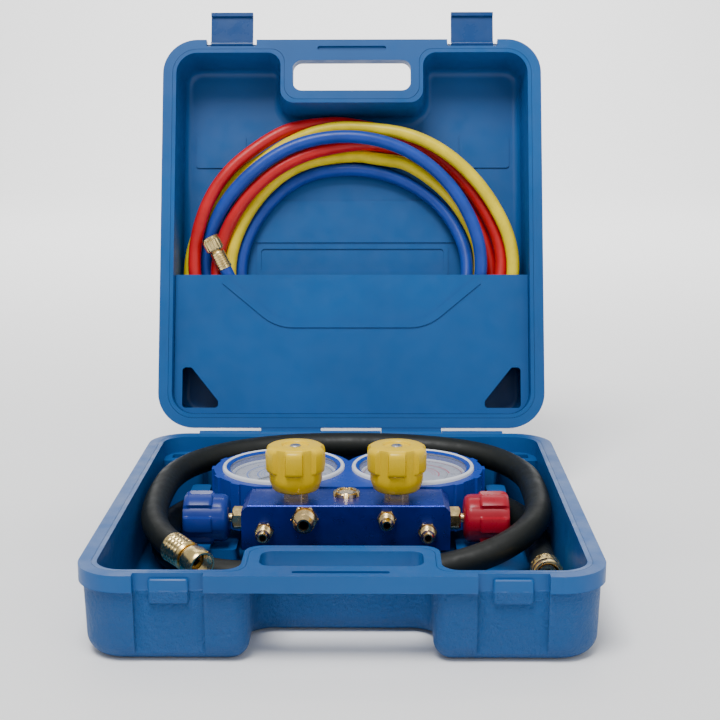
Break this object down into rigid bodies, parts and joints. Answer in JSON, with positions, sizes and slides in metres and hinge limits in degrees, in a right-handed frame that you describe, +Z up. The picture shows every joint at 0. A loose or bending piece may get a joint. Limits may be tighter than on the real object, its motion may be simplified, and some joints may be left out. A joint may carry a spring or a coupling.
{
  "type": "refrigerant manifold gauge set",
  "caption": "Refrigerant manifold with gauges, valves and sight glass, with charging and vacuum hoses, in a hinged moulded carry case",
  "frame": {"origin": "middle of the underside of the case", "axes": "+X to the right, +Y towards the hinge, +Z up"},
  "size_m": [0.34, 0.5144, 0.4194],
  "materials": {
    "case_plastic": "moulded, fine texture",
    "latch_plastic": "smooth moulded",
    "steel": "plain",
    "anodised_blue": "anodised",
    "brass": "machined",
    "knob_blue": "smooth moulded",
    "knob_red": "smooth moulded",
    "knob_yellow": "smooth moulded",
    "glass": "clear",
    "gauge_boot_blue": "matt",
    "dial_white": "printed",
    "bezel_white": "smooth moulded",
    "black_paint": "matt",
    "hose_blue": "smooth",
    "hose_yellow": "smooth",
    "hose_red": "smooth",
    "hose_black": "matt, ribbed",
    "plated_brass": "machined"
  },
  "bodies": {
    "case_base": {"case_base_shell": "case_plastic", "case_base_tray": "case_plastic", "hinge_pin": "steel", "vacuum_hose": "hose_black", "ferrules_vacuum": "plated_brass"},
    "case_lid": {"case_lid_shell": "case_plastic", "case_lid_liner": "case_plastic", "latch_pins": "steel", "lid_pocket_panel": "case_plastic", "hose_blue": "hose_blue", "hose_yellow": "hose_yellow", "hose_red": "hose_red", "ferrules_blue": "plated_brass", "ferrules_yellow": "plated_brass", "ferrules_red": "plated_brass"},
    "latch_left": {"latch_left": "latch_plastic"},
    "latch_right": {"latch_right": "latch_plastic"},
    "manifold": {"manifold_block": "anodised_blue", "port_fittings_small": "brass", "port_fitting_vacuum": "brass", "sight_glass_ring": "brass", "sight_glass_lens": "glass", "valve_bonnets": "brass", "gauge_cover": "gauge_boot_blue", "gauge_case_low_side": "steel", "gauge_works_low_side": "brass", "dial_low_side": "dial_white", "bezel_low_side": "bezel_white", "lens_low_side": "glass", "gauge_case_high_side": "steel", "gauge_works_high_side": "brass", "dial_high_side": "dial_white", "bezel_high_side": "bezel_white", "lens_high_side": "glass"},
    "pointer_low_side": {"pointer_low_side": "black_paint"},
    "pointer_high_side": {"pointer_high_side": "black_paint"},
    "piston_low_side": {"piston_low_side": "brass"},
    "knob_low_side": {"stem_low_side": "brass", "knob_low_side": "knob_blue"},
    "piston_high_side": {"piston_high_side": "brass"},
    "knob_high_side": {"stem_high_side": "brass", "knob_high_side": "knob_red"},
    "piston_vacuum": {"piston_vacuum": "brass"},
    "knob_vacuum": {"stem_vacuum": "brass", "knob_vacuum": "knob_yellow"},
    "piston_charge": {"piston_charge": "brass"},
    "knob_charge": {"stem_charge": "brass", "knob_charge": "knob_yellow"},
    "nut_blue_start": {"nut_blue_start": "plated_brass"},
    "nut_blue_end": {"nut_blue_end": "plated_brass"},
    "nut_yellow_start": {"nut_yellow_start": "plated_brass"},
    "nut_yellow_end": {"nut_yellow_end": "plated_brass"},
    "nut_red_start": {"nut_red_start": "plated_brass"},
    "nut_red_end": {"nut_red_end": "plated_brass"},
    "nut_vacuum_start": {"nut_vacuum_start": "plated_brass"},
    "nut_vacuum_end": {"nut_vacuum_end": "plated_brass"}
  },
  "joints": [
    {"name": "lid_hinge", "type": "hinge", "parent": "case_base", "child": "case_lid", "pos_m": [0, 0.183, 0.055], "axis": [-1, 0, 0], "range_deg": [-107.25, 0]},
    {"name": "latch_left_hinge", "type": "hinge", "parent": "case_lid", "child": "latch_left", "pos_m": [-0.1085, 0.29862, 0.39091], "axis": [-1, 0, 0], "range_deg": [-90, 0]},
    {"name": "latch_right_hinge", "type": "hinge", "parent": "case_lid", "child": "latch_right", "pos_m": [0.1085, 0.29862, 0.39091], "axis": [-1, 0, 0], "range_deg": [-90, 0]},
    {"name": "manifold_lift", "type": "slide", "parent": "case_base", "child": "manifold", "axis": [0, 0, 1], "range_m": [0, 0.1]},
    {"name": "low_side_rise", "type": "slide", "parent": "manifold", "child": "piston_low_side", "axis": [-1, 0, 0], "range_m": [0, 0.0035]},
    {"name": "low_side_turn", "type": "hinge", "parent": "piston_low_side", "child": "knob_low_side", "pos_m": [-0.0765, 0, 0.041], "axis": [-1, 0, 0], "range_deg": [0, 900]},
    {"name": "high_side_rise", "type": "slide", "parent": "manifold", "child": "piston_high_side", "axis": [1, 0, 0], "range_m": [0, 0.0035]},
    {"name": "high_side_turn", "type": "hinge", "parent": "piston_high_side", "child": "knob_high_side", "pos_m": [0.0765, 0, 0.041], "axis": [1, 0, 0], "range_deg": [0, 900]},
    {"name": "vacuum_rise", "type": "slide", "parent": "manifold", "child": "piston_vacuum", "axis": [0, 0, 1], "range_m": [0, 0.0035]},
    {"name": "vacuum_turn", "type": "hinge", "parent": "piston_vacuum", "child": "knob_vacuum", "pos_m": [-0.0374, -0.003, 0.058], "axis": [0, 0, 1], "range_deg": [0, 900]},
    {"name": "charge_rise", "type": "slide", "parent": "manifold", "child": "piston_charge", "axis": [0, 0, 1], "range_m": [0, 0.0035]},
    {"name": "charge_turn", "type": "hinge", "parent": "piston_charge", "child": "knob_charge", "pos_m": [0.0374, -0.003, 0.058], "axis": [0, 0, 1], "range_deg": [0, 900]},
    {"name": "pointer_low_side_sweep", "type": "hinge", "parent": "manifold", "child": "pointer_low_side", "pos_m": [-0.0513, 0.072, 0.053], "axis": [0, 0, -1], "range_deg": [0, 270], "stiffness_Nm_per_rad": 0.0002},
    {"name": "pointer_high_side_sweep", "type": "hinge", "parent": "manifold", "child": "pointer_high_side", "pos_m": [0.0513, 0.072, 0.053], "axis": [0, 0, -1], "range_deg": [0, 270], "stiffness_Nm_per_rad": 0.0002},
    {"name": "nut_blue_start_spin", "type": "hinge", "parent": "case_lid", "child": "nut_blue_start", "pos_m": [-0.1247, 0.24979, 0.21555], "axis": [-0.4463, 0.0643, 0.8926], "continuous": true},
    {"name": "nut_blue_end_spin", "type": "hinge", "parent": "case_lid", "child": "nut_blue_end", "pos_m": [-0.11674, 0.25249, 0.13629], "axis": [0.3498, -0.2727, -0.8963], "continuous": true},
    {"name": "nut_yellow_start_spin", "type": "hinge", "parent": "case_lid", "child": "nut_yellow_start", "pos_m": [-0.01153, 0.24182, 0.13076], "axis": [-0.9893, -0.0542, 0.1357], "continuous": true},
    {"name": "nut_yellow_end_spin", "type": "hinge", "parent": "case_lid", "child": "nut_yellow_end", "pos_m": [-0.06718, 0.2341, 0.07857], "axis": [0.885, -0.1239, -0.4488], "continuous": true},
    {"name": "nut_red_start_spin", "type": "hinge", "parent": "case_lid", "child": "nut_red_start", "pos_m": [0.09218, 0.24125, 0.09922], "axis": [-0.5443, -0.3011, -0.783], "continuous": true},
    {"name": "nut_red_end_spin", "type": "hinge", "parent": "case_lid", "child": "nut_red_end", "pos_m": [-0.05316, 0.21726, 0.07912], "axis": [0.8962, -0.1207, -0.4269], "continuous": true},
    {"name": "nut_vacuum_start_spin", "type": "hinge", "parent": "case_base", "child": "nut_vacuum_start", "pos_m": [-0.10406, -0.07252, 0.03242], "axis": [0.6435, -0.757, -0.1136], "continuous": true},
    {"name": "nut_vacuum_end_spin", "type": "hinge", "parent": "case_base", "child": "nut_vacuum_end", "pos_m": [0.1401, -0.08951, 0.03015], "axis": [-0.0648, -0.9718, 0.2268], "continuous": true}
  ],
  "couplings": [
    {"joint": "low_side_turn", "follows": "low_side_rise", "rad_per_m": 4488},
    {"joint": "high_side_turn", "follows": "high_side_rise", "rad_per_m": 4488},
    {"joint": "vacuum_turn", "follows": "vacuum_rise", "rad_per_m": 4488},
    {"joint": "charge_turn", "follows": "charge_rise", "rad_per_m": 4488}
  ]
}
